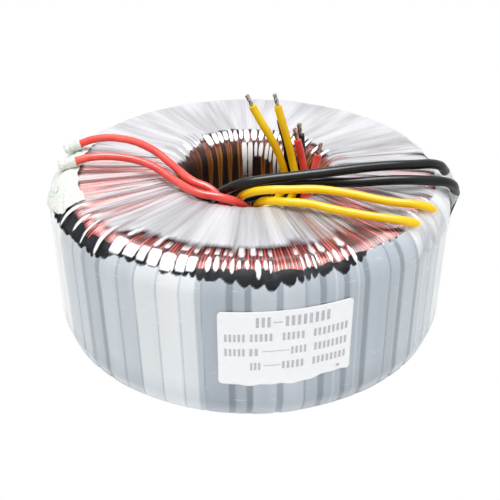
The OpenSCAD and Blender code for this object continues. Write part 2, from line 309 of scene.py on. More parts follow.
def wavy(turn, place, seed, columns, rows):
    """Smooth noise from 0 to 1 over the direction round the axis and a place from 0 to 1, with so
    many bumps round the ring and so many along."""
    grid = np.random.default_rng(seed).random((rows + 1, columns))
    u, v = turn / 360 * columns, np.clip(place, 0, 1) * rows
    iu, iv = np.floor(u).astype(int), np.minimum(np.floor(v).astype(int), rows - 1)
    fu, fv = u - iu, v - iv
    fu, fv = fu * fu * (3 - 2 * fu), fv * fv * (3 - 2 * fv)
    a, b = iu % columns, (iu + 1) % columns
    low = grid[iv, a] * (1 - fu) + grid[iv, b] * fu
    high = grid[iv + 1, a] * (1 - fu) + grid[iv + 1, b] * fu
    return low * (1 - fv) + high * fv


def ragged(turn, seed, columns):
    """Smooth noise from 0 to 1 round the ring alone, for the edge of a sheet."""
    return wavy(turn, 0 * turn, seed, columns, 1)


def ease(x, low, high):
    """0 up to low, 1 from high, and smooth between them."""
    t = np.clip((x - low) / (high - low), 0, 1)
    return t * t * (3 - 2 * t)


def degrees_off(turn, middle):
    """Degrees between two directions, the short way round."""
    return np.abs((turn - middle + 180) % 360 - 180)


def near(turn, middle, reach):
    """1 at a direction round the axis, falling to 0 at its reach on both sides, in degrees."""
    return 1 - ease(degrees_off(turn, middle), 0, reach)


def around(turn, *stops):
    """A value that changes evenly between (direction, value) pairs round the axis."""
    return np.interp(turn, [a for a, _ in stops], [v for _, v in stops], period=360)


def keep_colour(piece, name, *channels):
    """Stores up to four values per vertex as one colour attribute."""
    count = len(piece.data.vertices)
    values = np.ones((count, 4), np.float32)
    for i, channel in enumerate(channels):
        values[:, i] = channel
    layer = piece.data.color_attributes.new(name, "FLOAT_COLOR", "POINT")
    layer.data.foreach_set("color", values.ravel())


def keep_value(piece, name, values):
    """Stores one value per vertex as an attribute."""
    layer = piece.data.attributes.new(name, "FLOAT", "POINT")
    layer.data.foreach_set("value", values)


# ---------------------------------------------------------------- leads

def lead_plastic(name, deep, plain, bright, roughness, gloss=0.5):
    """Extruded flexible PVC insulation: glossy but soft, the colour a little uneven over 11 mm
    and the surface faintly rough at 0.4 mm."""
    material = mottled(name, 90, (0.3, deep), (0.5, plain), (0.72, bright), detail=3,
                       Roughness=roughness, Specular_IOR_Level=gloss, Coat_Weight=gloss / 2,
                       Coat_Roughness=0.2)
    tree = material.node_tree
    fine = add(tree, "TexNoise", {"Vector": add(tree, "TexCoord").outputs["Object"],
                                  "Scale": 2500, "Detail": 2})
    bump = add(tree, "Bump", {"Height": fine, "Strength": 0.06, "Distance": 0.0002})
    tree.links.new(bump.outputs[0], tree.nodes["Principled BSDF"].inputs["Normal"])
    return material


red_pvc = lead_plastic("red_pvc", "#D8322C", "#F0463C", "#F8604E", 0.36)
black_pvc = lead_plastic("black_pvc", "#08090A", "#0D0E10", "#16181B", 0.34, 0.22)
yellow_pvc = lead_plastic("yellow_pvc", "#FFBE00", "#FFCE00", "#FFDA1C", 0.4, 0.3)

# Soft-drawn copper strands: bare on the red leads, tinned on the others. Drawn wire has a soft
# metal gleam and is a little darker in the hollows between the strands.
bare_copper = mottled("bare_copper", 900, (0.35, "#7E5A48"), (0.65, "#DDBFA8"),
                      Metallic=1.0, Roughness=0.3)
tinned_copper = mottled("tinned_copper", 900, (0.35, "#8F8B84"), (0.65, "#D8D5CE"),
                        Metallic=1.0, Roughness=0.28)


def round_curve(name, radius, rounding):
    """An empty curve object whose splines are round in section, with closed ends."""
    curve = bpy.data.curves.new(name, "CURVE")
    curve.dimensions = "3D"
    curve.bevel_depth = radius * MM
    curve.bevel_resolution = rounding
    curve.use_fill_caps = True
    piece = bpy.data.objects.new(name, curve)
    bpy.context.scene.collection.objects.link(piece)
    return piece


def lead_curve(name, points, width):
    """Round lead on one smooth spline through its points, and the length of that spline."""
    lead = round_curve(name, width / 2, 5)
    lead.data.resolution_u = 10
    spline = lead.data.splines.new("BEZIER")
    spline.bezier_points.add(len(points) - 1)
    for knot, point in zip(spline.bezier_points, points):
        knot.co = Vector(point) * MM
        knot.handle_left_type = knot.handle_right_type = "AUTO"
    bpy.context.view_layer.update()
    knots = spline.bezier_points
    length = 0
    for a, b in zip(knots, knots[1:]):
        line = interpolate_bezier(a.co, a.handle_right, b.handle_left, b.co, 24)
        length += sum((q - p).length for p, q in zip(line, line[1:]))
    return lead, length


def stripped_end(name, tip, heading, width):
    """Twisted strands, one in the middle and the others round it, that start just inside a lead's
    end, stand out of it and splay a little."""
    side = heading.orthogonal().normalized()
    other = heading.cross(side)
    strand_r = width * BUNDLE_SHARE / 6     # three strands lie side by side across the bundle
    end = round_curve(name, strand_r, 2)
    rng = random.Random(name)
    steps = 12
    for k in range(STRANDS):
        spline = end.data.splines.new("POLY")
        spline.points.add(steps)
        stray = rng.uniform(0.9, 1.25)
        for i, point in enumerate(spline.points):
            t = i / steps
            a = k * math.tau / (STRANDS - 1) + t * TWIST
            away = 0 if k == STRANDS - 1 else 2 * strand_r * (1 + (stray - 1) * t)
            spot = (tip + heading * (t * STRIP_L * rng.uniform(0.97, 1) - 0.5)
                    + (side * math.cos(a) + other * math.sin(a)) * away)
            point.co = (*(spot * MM), 1)
    return end


PVC = {"red": red_pvc, "black": black_pvc, "yellow": yellow_pvc}
for wire, (width, points) in LEADS.items():
    colour = wire.split("_")[0]
    lead, length = lead_curve("lead_" + wire + "_pvc", points, width)
    put(lead, PVC[colour])
    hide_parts("lead_" + wire)
    tip = Vector(points[-1])
    heading = (tip - Vector(points[-2])).normalized()
    strands = stripped_end("strands_" + wire + "_twisted", tip, heading, width)
    put(strands, bare_copper if colour == "red" else tinned_copper)
    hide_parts("strands_" + wire)


# ---------------------------------------------------------------- enamelled winding

# Enamelled copper magnet wire: pink-red copper under a clear amber enamel coat. In its attribute
# red is painted light and shade across the wires, light on each crown and dark in the gaps between
# them, green the amber varnish that ran down in the bore and blue painted shade, dark brown, in the
# bore and towards it, together with darker streaks beside the leads' exits.
enamelled_copper, tree, shader = finish_called(
    "enamelled_copper_wire", Metallic=0.2, Roughness=0.32, Coat_Weight=0.35, Coat_Roughness=0.15)
kept = add(tree, "SeparateColor", {"Color": add(tree, "Attribute", attribute_name="turns")})
painted_ridge_light, varnished, bore_shade_and_streaks = kept.outputs["Red"], kept.outputs["Green"], kept.outputs["Blue"]
# The copper ramp runs from painted shade in the gaps between the wires to a painted highlight on
# their crowns.
copper = add(tree, "ValToRGB", {"Fac": painted_ridge_light}, stops=[
    (0.0, "#2A0C0C"), (0.3, "#7A2420"), (0.6, "#C94A40"), (1.0, "#F0897A")])
varnish = add(tree, "ValToRGB", {"Fac": painted_ridge_light}, stops=[
    (0.0, "#8A4208"), (0.35, "#D07A14"), (1.0, "#F7B548")])
# Dark brown for the painted shade in the bore and for the darker streaks beside the exits.
dark_brown = add(tree, "ValToRGB", {"Fac": painted_ridge_light}, stops=[
    (0.0, "#1A1010"), (0.6, "#3E2A26"), (1.0, "#5E4238")])
shaded = add(tree, "Mix", {"Factor": bore_shade_and_streaks, 6: copper, 7: dark_brown}, data_type="RGBA")
amber = add(tree, "Mix", {"Factor": varnished, 6: shaded.outputs[2], 7: varnish},
            data_type="RGBA")
tree.links.new(amber.outputs[2], shader.inputs["Base Color"])

# The turns stand up as round ridges, and some bundles lie a little deeper than others.
WIRES = HEAVY_TURNS * WIRES_PER_TURN
RIDGE_UP, VALLEY_DOWN, BUNDLE_DOWN = 0.35, 0.25, 0.2
profile = section(WIRE_OUT - RIDGE_UP, 4, 8, 6, 5, 3)
winding = spun("enamelled_turns", profile, WIRES * 5, wedges=28)
co, turn, index, out = ring_places(winding, profile)
wire_place = turn / 360 * WIRES
ridge = np.abs(np.sin(np.pi * wire_place)) ** 0.7
bundle = np.floor(wire_place / WIRES_PER_TURN).astype(int) % HEAVY_TURNS
sunk = np.random.default_rng(3).random(HEAVY_TURNS + 1)[bundle]
push_out(winding, co, turn, index, out,
         RIDGE_UP * ridge - VALLEY_DOWN * (1 - ridge) - BUNDLE_DOWN * sunk)

# Painted shade, dark brown, in the bore and towards it, with runs of amber varnish that narrow
# downwards.
r, z = np.array(profile)[index].T
each = np.random.default_rng(5).random(WIRES + 1)[np.floor(wire_place).astype(int) % WIRES]
in_bore = (1 - ease(r, 33, 37.5)) * ease(z, 2, 8)
towards_bore_shade = (1 - ease(r, 34, 45)) * 0.6
depth_in = np.clip((64 - z) / 26, 0, 1)
runs = np.zeros(len(turn))
rng = np.random.default_rng(8)
for middle in np.arange(4, 360, 9.5) + rng.uniform(-2, 2, 38):
    wide = rng.uniform(1.7, 3.6) * (1 - 0.8 * depth_in)
    gap = degrees_off(turn, middle)
    runs = np.maximum(runs, rng.uniform(0.7, 1) * (1 - ease(gap, wide - 0.3, wide + 0.3))
                      * (0.5 + 0.5 * ease(gap, wide - 1.4, wide - 0.5)))
plain_side = near(turn, 150, 30)
# Two streaks of amber cross the top in front, and the copper is darker brown in patches beside the
# leads' exits.
front_amber = (near(turn, 297, 3.5) + 0.7 * near(turn, 303, 2)) \
    * ease(r, 36, 44) * (1 - ease(r, 62, 76))
amber_part = np.clip(runs * in_bore * (1 - plain_side) + front_amber, 0, 1)
dusky = ease(wavy(turn, (r - 40) / 50, 9, 170, 2), 0.38, 0.62) * ease(r, 55, 70) \
    * np.maximum(0.3 * near(turn, 206, 34), near(turn, 322, 30)) ** 0.5
# Painted light and shade across each wire: light on its crown, dark in the gaps, times the wire's
# own random tone, and lighter where amber runs.
lit = ridge ** 1.6 * (0.2 + 0.75 * each) + 0.35 * amber_part
keep_colour(winding, "turns", np.clip(lit, 0, 1), amber_part,
            np.clip(np.maximum.reduce([in_bore, towards_bore_shade, 0.85 * dusky]), 0, 1))
put(winding, enamelled_copper)
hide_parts("low_volt_winding")


# ---------------------------------------------------------------- dark band

# Cold-rolled steel strip, blued, laid round the winding: near black, cool and softly glossy,
# cloudy over 7 mm.
blued_steel = mottled("blued_steel_strip", 140, (0.35, "#0E1214"), (0.55, "#1E2228"),
                      (0.75, "#3A3A48"), detail=4, Roughness=0.45, Specular_IOR_Level=0.12)

# It covers the wall and two thirds of the shoulder. Its upper edge is torn and pressed inwards.
profile = section(BAND_OUT - 0.1, 20, 24, 4, 4, 3)[:20 + 16]
band = spun("crumpled_band", profile, 720, closed=False)
co, turn, index, out = ring_places(band, profile)
torn = 1.6 * (ragged(turn, 21, 150) - 0.5) + 1.6 * (ragged(turn, 22, 60) - 0.5)
edge = ease(index, len(profile) - 9, len(profile) - 1)
co[:, 2] += torn * edge * MM
co[:, :2] *= 1 - 0.012 * (np.clip(torn, 0, 2) * edge)[:, None]
relief = 0.12 * (wavy(turn, index / len(profile), 23, 260, 10) - 0.5)
push_out(band, co, turn, index, out, relief)
put(band, blued_steel)
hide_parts("side_band")


# ---------------------------------------------------------------- clear film in lapped turns

# Polyester film, stretched and lapped many times: clear where it lies tight over the shoulder,
# milky where air is caught between the turns, glossy all over. In its attribute red is the
# milkiness, green its lightness, with painted shade along the crease of the shoulder, blue the cool
# tone of the side and alpha painted glare: white patches that stand in for the lamps' glare on the
# film.
polyester_film, tree, shader = finish_called("polyester_film", Roughness=0.22, IOR=1.6,
                                             Coat_Weight=0.3, Coat_Roughness=0.08)
kept = add(tree, "Attribute", attribute_name="film")
parts = add(tree, "SeparateColor", {"Color": kept})
cloudiness, lightness, on_side = (parts.outputs[part] for part in ("Red", "Green", "Blue"))
# Alpha is painted glare: white patches that stand in for the lamps' glare on the film.
glare_paint = kept.outputs["Alpha"]
# Fine creases run over the top like spokes and straight up the walls, about 0.6 mm apart.
here = add(tree, "TexCoord").outputs["Object"]
split = add(tree, "SeparateXYZ", {"Vector": here})
level = add(tree, "CombineXYZ", {"X": split.outputs["X"], "Y": split.outputs["Y"]})
radius = add(tree, "VectorMath", {0: level}, operation="LENGTH").outputs["Value"]
spoke = add(tree, "VectorMath", {0: level}, operation="NORMALIZE")
spoke = add(tree, "VectorMath", {0: spoke, "Scale": 42}, operation="SCALE")
run = add(tree, "Math", {0: radius, 1: split.outputs["Z"]}, operation="SUBTRACT")
run = add(tree, "Math", {0: run, 1: 30}, operation="MULTIPLY")
run = add(tree, "CombineXYZ", {"Z": run})
crease_at = add(tree, "VectorMath", {0: spoke, 1: run}, operation="ADD")
crease = add(tree, "TexNoise", {"Vector": crease_at, "Scale": 1.6, "Detail": 4, "Roughness": 0.6})
# They hardly show on the side, where the film is taut.
slack = add(tree, "Math", {0: on_side, 1: -0.8, 2: 1}, operation="MULTIPLY_ADD")
tone = add(tree, "Math", {0: crease, 1: 0.5}, operation="SUBTRACT")
tone = add(tree, "Math", {0: tone, 1: slack}, operation="MULTIPLY")
tone = add(tree, "Math", {0: tone, 1: 0.3, 2: lightness}, operation="MULTIPLY_ADD")
top_tone = add(tree, "ValToRGB", {"Fac": tone}, stops=[
    (0.0, "#8F8C92"), (0.5, "#D6D6DB"), (1.0, "#FAFAFC")])
side_tone = add(tree, "ValToRGB", {"Fac": tone}, stops=[
    (0.0, "#76818A"), (0.5, "#B4BEC7"), (1.0, "#F0F3F4")])
hue = add(tree, "Mix", {"Factor": on_side, 6: top_tone, 7: side_tone}, data_type="RGBA")
# Short level scuffs on the side, some 8 mm long and 0.7 mm high, painted white as glints.
scuff_at = add(tree, "VectorMath", {0: here, 1: (130, 130, 1500)}, operation="MULTIPLY")
scuff_glint = add(tree, "TexNoise", {"Vector": scuff_at, "Scale": 1, "Detail": 1})
scuff_glint = add(tree, "ValToRGB", {"Fac": scuff_glint}, stops=[(0.71, "#000000"), (0.74, "#909090")])
scuff_glint = add(tree, "Math", {0: scuff_glint, 1: on_side}, operation="MULTIPLY")
# The scuffs' painted glints and the painted glare turn the colour white.
bright = add(tree, "Math", {0: scuff_glint, 1: glare_paint}, operation="MAXIMUM")
hue = add(tree, "Mix", {"Factor": bright, 6: hue.outputs[2], 7: paint("#FFFFFF")},
          data_type="RGBA")
tree.links.new(hue.outputs[2], shader.inputs["Base Color"])
cover = add(tree, "Math", {0: crease, 1: 0.5}, operation="ADD")
cover = add(tree, "Math", {0: cover, 1: cloudiness}, operation="MULTIPLY", use_clamp=True)
cover = add(tree, "Math", {0: cover, 1: glare_paint}, operation="MAXIMUM")
tree.links.new(cover.outputs[0], shader.inputs["Alpha"])
strength = add(tree, "Math", {0: slack, 1: 0.2}, operation="MULTIPLY")
bump = add(tree, "Bump", {"Height": crease, "Strength": strength, "Distance": 0.0005})
tree.links.new(bump.outputs[0], shader.inputs["Normal"])


def painted_glare_patches(turn, s, seed, wide, gap, low, high, chances, squareness=3.5):
    """Patches of painted glare, white, that stand in for the lamps' glare on the film, side by side
    round the ring. Their widths and gaps in degrees and their low and high ends up the section are
    (smallest, largest) pairs, and chances say how likely one is in each direction. The squarer they
    are, the sharper their corners."""
    rng = np.random.default_rng(seed)
    rows, start = [], 0.0
    while start < 360:
        w = rng.uniform(*wide)
        rows.append((start, w, rng.uniform(*low), rng.uniform(*high), rng.random(),
                     rng.uniform(-0.3, 0.3)))
        start += w + rng.uniform(*gap)
    rows = np.array(rows)
    this_one = np.searchsorted(rows[:, 0], turn % 360, side="right") - 1
    start, w, bottom, top, luck, lean = rows[this_one].T
    v = (s - bottom) / (top - bottom)
    u = (turn % 360 - start) / w + lean * (v - 0.5) * 0.6
    shape = np.abs(2 * u - 1) ** squareness + np.abs(2 * v - 1) ** squareness
    return (1 - ease(shape, 0.75, 1.15)) * (luck < around(start + w / 2, *chances))


profile = section(FILM_OUT, 5, 28, 9, 5, 3, inner_n=18)
film = spun("lapped_film", profile, 1260)
co, turn, index, out = ring_places(film, profile)
line = np.array(profile)
s = way_along(line)[index]
r, z = line[index].T

# Each lap starts with a small step and ends a little before the next one, or well before it. The
# seams lean a little on the wall. Of a lap's six random draws two are spare.
WIDE_GAP, NARROW_GAP = 1.5, 0.25        # degrees
rng = np.random.default_rng(31)
starts = (np.arange(FILM_TURNS) + rng.uniform(-0.15, 0.15, FILM_TURNS)) * 360 / FILM_TURNS + 1.2
lean = (z - MID_Z) / MID_Z * 0.4 * (1 - ease(s, WALL_END, 62))
place = (turn + lean - starts[0]) % 360
lap = np.searchsorted(starts - starts[0], place, side="right") - 1
across = place - (starts - starts[0])[lap]
width = np.diff(np.append(starts, starts[0] + 360))[lap]
middle = starts[lap] + width / 2
height_luck, gap_luck, _, line_luck, drip_luck, _ = rng.random((FILM_TURNS, 6))[lap].T
wide_share = around(middle, (262, 0.3), (280, 0.55), (325, 0.55), (335, 0.3))
gap = np.where(gap_luck < wide_share, WIDE_GAP, NARROW_GAP)
open_gap = ease(across, width - gap - 0.15, width - gap + 0.15)
relief = (LAP_OUT - FILM_OUT) * (0.4 + 0.6 * height_luck) * ease(across, 0, 0.3) \
    * (1 - open_gap) * (0.4 + 0.6 * ease(r, 28, 80))

# Over the top the film lies in pleats, broad, middling and fine.
pleat = wavy(turn, (r - z + 80) / 140, 33, 240, 4)
fine = wavy(turn, (r - z + 80) / 140, 34, 700, 6)
up_the_top = (s - 60) / 70
broad = wavy(turn, up_the_top, 35, 84, 2)
upper = ease(s, 58, 64) * (1 - ease(s, 118, 126))
relief += upper * (0.3 * (pleat - 0.5) + 0.1 * (fine - 0.5) + 0.5 * (broad - 0.5))
push_out(film, co, turn, index, out, relief)

# How far up the shoulder the milky side reaches, with an edge in ragged lobes.
reach = around(turn, (60, 58), (165, 58), (208, 54.8), (231, 55), (233, 58.4), (255, 58.6),
               (258, 58.6), (267, 58), (271, 56.6), (278, 56.6), (282, 58.2), (293, 58.6),
               (299, 59.5), (303, 62.8), (318, 63.2), (330, 64), (20, 64), (40, 60))
lobe = np.abs(np.sin(np.pi * (turn / 3.1 + 1.6 * ragged(turn, 44, 50)))) ** 0.6
lobe *= 0.4 + 1.2 * ragged(turn, 50, 70)
lobe *= around(turn, (200, 0.8), (256, 1.2), (262, 2.8), (285, 2.6), (296, 2.2), (302, 0.8),
               (360, 0.8))
reach += 0.9 * (ragged(turn, 41, 110) - 0.5) + (ragged(turn, 42, 260) - 0.5) \
    + 0.9 * (drip_luck - 0.5) - lobe
milky_side = np.maximum(1 - ease(s, reach - 0.4, reach + 0.4), ease(s, 222, 230))

# The milky top runs from the bore to the shoulder. At the back it reaches over the shoulder.
top_from = around(turn, (60, 105.3), (122, 105.3), (134, 110), (150, 113), (200, 113), (340, 112),
                  (20, 108), (45, 106))
top_to = around(turn, (5, 62), (30, 58), (150, 58), (175, 65), (205, 63), (226, 67), (238, 73.5),
                (290, 74.5), (305, 76), (318, 70), (328, 61), (350, 59))
jag = 4 * (pleat - 0.5) + 3 * (ragged(turn, 45, 130) - 0.5)
milky_top = ease(s, top_to + jag - 1.5, top_to + jag + 2.5) \
    * (1 - ease(s, top_from + jag * 0.5 - 0.6, top_from + jag * 0.5 + 1))
# Beside the leads' exits it thins out in streaks, and the copper shows through.
exits = np.maximum.reduce([near(turn, 195, 42) ** 0.6, near(turn, 320, 40) ** 0.6,
                           0.9 * near(turn, 350, 34) ** 0.5])
outward = np.interp(s, (0, 60, 84, 104, 240), (0.9, 1, 0.9, 0.6, 0.5))
bare = 0.16 * near(turn, 322, 42) ** 0.5 + 0.13 * near(turn, 197, 34) ** 0.5
streak = ease(wavy(turn, up_the_top, 43, 150, 2), 0.45 - bare, 0.75 - bare)
streak_fine = ease(wavy(turn, up_the_top, 46, 430, 3), 0.5 - bare, 0.8 - bare)
inner_rim = ease(s, 98, 104) * around(turn, (120, 0), (135, 1), (200, 0.8), (215, 0.2),
                                      (340, 0), (0, 0.8), (50, 0))
thin = exits * outward * (0.95 * streak + 0.7 * streak_fine) + 0.5 * inner_rim * streak_fine
milky_top *= 1 - np.clip(thin, 0, 0.95)
milky_top *= 1 - 0.3 * near(turn, 197, 34) ** 0.5 - 0.15 * near(turn, 325, 36) ** 0.5
under = ease(s, 172, 178)
milky = np.maximum.reduce([1.5 * milky_side, 1.12 * milky_top, 0.92 * under])

# Painted glare, white patches for the lamps' glare on the film: rows below and above the crease
# line on the shoulder, two rows at the bore.
low_left = painted_glare_patches(turn, s, 51, (2.4, 4.4), (0.2, 0.7), (57.5, 59.5), (65.2, 66.2),
                   [(225, 0), (232, 0.95), (256, 0.95), (258, 0)], 6)
low_front = painted_glare_patches(turn, s, 52, (0.5, 1.5), (0.5, 1.8), (57.5, 63), (65, 67.5),
                    [(256, 0), (258, 0.85), (292, 0.75), (300, 0.35), (318, 0.2), (322, 0)], 2.2)
high = painted_glare_patches(turn, s, 53, (0.8, 2.4), (0.4, 1.8), (66.6, 68), (69.5, 74),
               [(226, 0.1), (240, 0.7), (262, 0.8), (290, 0.7), (298, 0.25), (325, 0.1), (328, 0)],
               2.8)
slashes = painted_glare_patches(turn, s, 54, (0.7, 1.5), (3.5, 6), (54, 58), (66, 71),
                  [(198, 0), (204, 0.95), (232, 0.95), (234, 0)], 2.2)
rim = painted_glare_patches(turn, s, 55, (2.2, 6), (0.5, 1.5), (104.8, 106), (111, 113.3),
              [(40, 0.4), (56, 1), (126, 1), (130, 0), (350, 0)], 3)
bore = painted_glare_patches(turn, s, 56, (2.2, 5), (0.5, 1.8), (112.9, 113.8), (119.5, 124.5),
               [(40, 0.3), (56, 0.95), (96, 0.95), (102, 0.3), (124, 0.2), (128, 0), (350, 0)], 3.4)
# All patches of painted glare together.
painted_glare_mask = (s > reach + 0.3) * np.maximum.reduce([low_left, low_front, slashes])
painted_glare_mask = np.maximum.reduce([painted_glare_mask, 0.8 * high, rim, bore])

# Each lap has its own lightness, with dark gaps and seams and now and then a pale line.
light = around(middle, (20, 0.9), (150, 1.1), (200, 1.1), (209, 0.95), (212, 0.56), (232, 0.56),
               (238, 0.68), (241, 0.84), (259, 0.86), (261, 0.5), (310, 0.48), (325, 0.62),
               (338, 0.92))
seam = np.exp(-(across / 0.2) ** 2)
pale_line = np.exp(-((across / width - 0.45) / 0.04) ** 2) * (line_luck > 0.65)
tint = wavy(turn, s / 240, 49, 150, 3) - 0.5
side_shade = light + 0.2 * (height_luck - 0.5) - 0.3 * open_gap - 0.25 * seam \
    + 0.2 * pale_line + 0.08 * tint - 0.12 * (1 - ease(s, 0, 5))
top_shade = 0.36 + 0.16 * (pleat - 0.5) + 0.1 * (fine - 0.5) + 0.42 * (broad - 0.5) \
    + around(turn, (20, 0), (80, 0.02), (150, 0.1), (180, 0.32), (212, 0.22), (235, 0),
             (270, -0.06), (300, 0), (320, 0.12), (345, 0.1))
shade = np.clip(side_shade * milky_side + top_shade * (1 - milky_side), 0, 1)

# Painted shade lies in a crease along the front of the shoulder. No film is clearer than its own
# skin.
CREASE_AT, SKIN = 66.2, 0.012
crease_shade = np.exp(-((s - CREASE_AT) / 0.55) ** 2) * ragged(turn, 48, 200) \
    * around(turn, (0, 0), (222, 0), (235, 1), (285, 1), (295, 0))
shade = np.where(crease_shade > 0.3, 0.1, shade)
milky = np.maximum.reduce([milky, 0.5 * crease_shade, np.full(len(turn), SKIN)])
keep_colour(film, "film", milky, shade, milky_side, painted_glare_mask)
put(film, polyester_film)
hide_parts("outer_film")


# ---------------------------------------------------------------- label

# Coated label paper: matt white with a faint grain.
label_paper = mottled("label_paper", 400, (0.3, "#F6F7FA"), (0.7, "#FCFCFE"), detail=3,
                      Roughness=0.5)

# Grey print, plain bars in place of words: thin ink, a little broken up at 0.3 mm.
grey_print = mottled("grey_print", 3000, (0.35, "#A9ADB3"), (0.65, "#D2D5DA"), Roughness=0.6)

LABEL_W, LABEL_H, LABEL_LOW, LABEL_TURN, LABEL_CORNER = 53, 34.5, 24, -81, 1.9
RIM_DEGREE = RIM_R * math.pi / 180      # millimetres round the rim in one degree
WALL_FOOT = MID_Z - WALL_END / 2        # height where the straight outer wall starts


def label_bend(x, y):
    """Label sizes, in millimetres from its middle, onto the wall. Its corners are round. Its lower
    edge is cut by hand in a wave, straighter on the left, and stands off the film a little."""
    over = np.clip(np.abs(x) - (LABEL_W / 2 - LABEL_CORNER), 0, LABEL_CORNER)
    corner = LABEL_CORNER - np.sqrt(LABEL_CORNER ** 2 - over ** 2)
    wave = 0.9 * np.sin(x / 9 + 2) + 0.5 * np.sin(x / 3.7) + 0.25 * np.sin(x / 1.3) - 0.3
    wave *= ease(x, -28, -16) * ease(-y, 8, LABEL_H / 2)
    z = LABEL_LOW + LABEL_H / 2 + y * (1 - corner / (LABEL_H / 2)) - wave + 0.02 * x
    lift = 0.32 + 0.12 * np.sin(x / 6.5) * np.sin(y / 11 + 1) + 0.25 * ease(-y, 15.5, 17.3)
    return LABEL_TURN + x / RIM_DEGREE, z - WALL_FOOT, lift


def print_bend(x, y):
    """The same for the print, a hair above the paper."""
    turn, s, lift = label_bend(x, y)
    return turn, s, lift + 0.04


bm = bmesh.new()
flat_grid(bm, -LABEL_W / 2, LABEL_W / 2, -LABEL_H / 2, LABEL_H / 2, 160, 60)
label = laid_on_ring(bm, "label_sheet", label_bend, 0.15)[0]
put(label, label_paper)
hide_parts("label")

# Each row of print: the height of its middle, how high it is, and where its words start and end.
# A word is a row of upright bars, and a low or short one is a single dash.
PRINT = [
    (12.3, 4.6, [(-12, -5.5), (-0.8, 17.6)]), (12.1, 0.5, [(-5.3, -1.8)]),
    (5.2, 3.5, [(-23.9, -15.4), (-14.2, -4.9), (-1.8, 7.4), (10.3, 25.2)]),
    (-1.6, 3.5, [(-23.9, -15.4), (-14.4, -10.3), (1.6, 8.2), (10.7, 25)]),
    (-8.4, 3.5, [(-14.1, -9.5), (-1.8, 7.4), (10.3, 24.8)]),
    (-1.4, 0.35, [(-9.6, 1.0)]), (-8.2, 0.35, [(-9, -2.4)]), (-14.8, 1.6, [(20.4, 21.9)])]
WIDE_LETTER, LETTER, BAR_SHARE = 2.3, 1.8, 0.56

bm = bmesh.new()
for y, high, words in PRINT:
    for x0, x1 in words:
        letter = WIDE_LETTER if high > 4 else LETTER
        count = max(1, round((x1 - x0) / letter)) if high > 2 else 1
        each_w = (x1 - x0) / count
        bar_w = each_w if count == 1 else each_w * BAR_SHARE
        for k in range(count):
            left = x0 + k * each_w
            flat_grid(bm, left, left + bar_w, y - high / 2, y + high / 2, 2, 2)
bars = laid_on_ring(bm, "label_bars", print_bend, 0)[0]
put(bars, grey_print)


# ---------------------------------------------------------------- tape and sleeves of the red leads

# Woven cotton tape: thread spacing 0.9 mm, soft and matt, with a few green threads' ends where
# its attribute allows them.
woven_cotton, tree, shader = finish_called("woven_cotton_tape", Roughness=0.9, Sheen_Weight=0.2)
here = add(tree, "TexCoord").outputs["Object"]
weave = add(tree, "TexVoronoi", {"Vector": here, "Scale": 1100})
white = add(tree, "ValToRGB", {"Fac": weave}, stops=[(0.0, "#F0F2ED"), (0.9, "#D3D7CF")])
kept = add(tree, "Attribute", attribute_name="flecks")
fleck = add(tree, "TexNoise", {"Vector": here, "Scale": 620, "Detail": 1})
fleck = add(tree, "Math", {0: fleck, 1: kept.outputs["Fac"]}, operation="MULTIPLY")
green = add(tree, "ValToRGB", {"Fac": fleck}, stops=[(0.5, "#000000"), (0.6, "#FFFFFF")])
mixed = add(tree, "Mix", {"Factor": green, 6: white, 7: paint("#5DAF8C")}, data_type="RGBA")
tree.links.new(mixed.outputs[2], shader.inputs["Base Color"])
bump = add(tree, "Bump", {"Height": weave, "Strength": 0.5, "Distance": 0.0003}, invert=True)
tree.links.new(bump.outputs[0], shader.inputs["Normal"])


TAPE_TOP = 70.3     # place up the section


def tape_patch(name, first, last, node, seed, low_first, low_last, fleck_at):
    """A patch of tape over the shoulder between two directions: wrinkled, with frayed edges. Its
    lower edge runs from one place up the section to another. Its green flecks lie about a
    direction, within a reach, and about a place up the section."""
    def bend(x, y):
        turn = first + x * (last - first)
        low = low_first + x * (low_last - low_first) + 0.8 * (ragged(turn, seed, 300) - 0.5)
        high = TAPE_TOP + 1.2 * (ragged(turn, seed + 1, 200) - 0.5)
        fold = 0.9 * wavy(turn * 2 + y * 30, y, seed + 2, 90, 3) \
            + 0.5 * wavy(turn, y, seed + 3, 300, 8)
        return turn, low + y * (high - low), 0.35 + 0.55 * fold
    bm = bmesh.new()
    flat_grid(bm, 0, 1, 0, 1, 90, 60)
    tape, _, turn, s = laid_on_ring(bm, name, bend, 0.3)
    middle, reach, height = fleck_at
    keep_value(tape, "flecks", near(turn, middle, reach) ** 0.3
               * (1 - ease(np.abs(s - height), 2.5, 4)))
    put(tape, woven_cotton)
    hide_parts(node)


tape_patch("tape_rear", 163.5, 181.6, "lead_out_tape_rear", 61, 48, 46, (171, 6, 66))
tape_patch("tape_front", 180.8, 207, "lead_out_tape_front", 71, 46.5, 58.5, (194, 5, 59))


def stand_along(bm, middle, heading):
    """Turns a bmesh's z along a heading, puts its origin at a middle and brings it from
    millimetres to metres."""
    turned = heading.to_track_quat("Z", "Y").to_matrix().to_4x4()
    bmesh.ops.transform(bm, matrix=Matrix.Scale(MM, 4) @ Matrix.Translation(middle) @ turned,
                        verts=bm.verts)
    bmesh.ops.recalc_face_normals(bm, faces=bm.faces)


# Inner and outer end's radius, length, wall, and how far the middle is out from the lead's start.
SLEEVE_R, SLEEVE_OUTER_R, SLEEVE_L, SLEEVE_WALL, SLEEVE_OUT = 2.3, 2.45, 8, 0.5, 1.8


